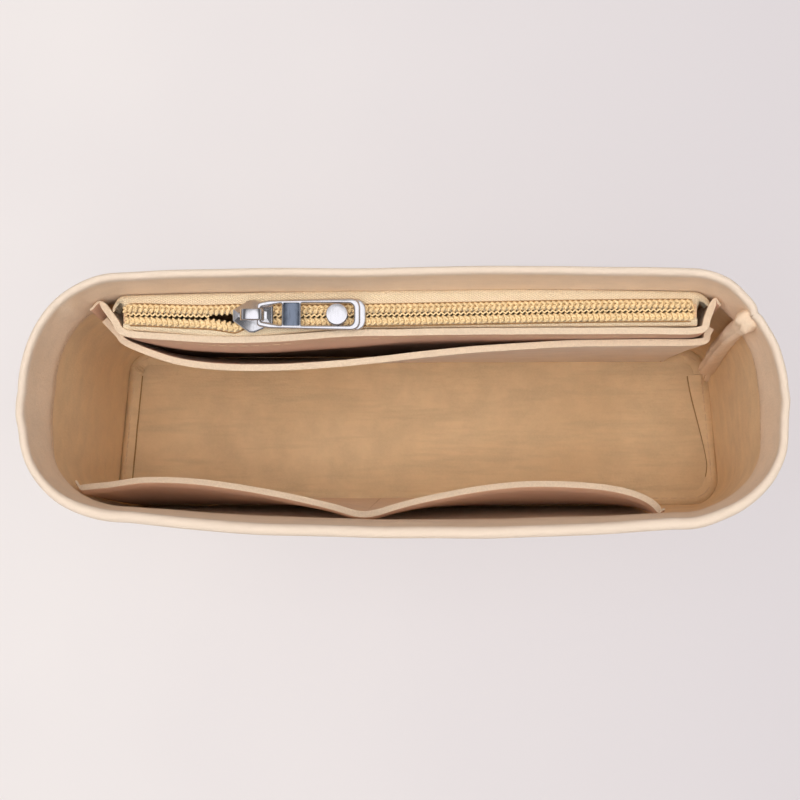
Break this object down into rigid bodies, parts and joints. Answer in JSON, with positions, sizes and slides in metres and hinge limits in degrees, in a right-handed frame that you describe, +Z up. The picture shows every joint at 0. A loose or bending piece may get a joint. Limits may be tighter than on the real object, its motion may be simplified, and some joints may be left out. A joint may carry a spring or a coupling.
{
  "type": "storage pouch",
  "caption": "Open felt storage pouch with flared walls, a zipped back pocket, a slip pocket, two front pockets, and a metal slider with a flat pull.",
  "frame": {"origin": "under the middle of the flat base, midway between the two ends and between front and back", "axes": "+Z up out of the open top, +X along the length to the right, +Y towards the zipped back"},
  "size_m": [0.203, 0.0705, 0.12],
  "materials": {
    "wall_felt": "matte pressed felt, fine short fibres",
    "base_felt": "matte pressed felt, fine short fibres",
    "pocket_felt": "matte pressed felt with pale cut edges",
    "zip_tape": "woven tape with a fine rib",
    "zip_coil": "satin nylon coil",
    "thread": "twisted sewing thread",
    "polished_metal": "polished bright plate"
  },
  "bodies": {
    "pouch": {"wall_band": "wall_felt", "base_panel": "base_felt", "zip_pocket_panel": "pocket_felt", "slip_pocket_panel": "pocket_felt", "front_pocket_panel": "pocket_felt", "hem_thread_outer": "thread", "hem_thread_inner": "thread", "foot_seam_thread": "thread", "closing_seam_thread": "thread", "zip_tape_back": "zip_tape", "zip_tape_front": "zip_tape", "zip_coil_back": "zip_coil", "zip_coil_front": "zip_coil", "zip_thread_back": "thread", "zip_thread_front": "thread", "zip_tack_left": "thread", "zip_tack_right": "thread", "back_pocket_thread_left": "thread", "back_pocket_thread_right": "thread", "front_pocket_thread_left": "thread", "front_pocket_thread_middle": "thread", "front_pocket_thread_right": "thread"},
    "slider": {"slider_body": "polished_metal", "slider_cap": "polished_metal", "slider_lock_spring": "polished_metal"},
    "pull": {"pull_tab": "polished_metal", "pull_stud": "polished_metal"}
  },
  "joints": [
    {"name": "slider_slide", "type": "slide", "parent": "pouch", "child": "slider", "axis": [1, 0, 0], "range_m": [-0.028, 0.088]},
    {"name": "pull_hinge", "type": "hinge", "parent": "slider", "child": "pull", "pos_m": [-0.0384, 0.0246, 0.109], "axis": [0, -1, 0], "range_deg": [0, 145]}
  ]
}
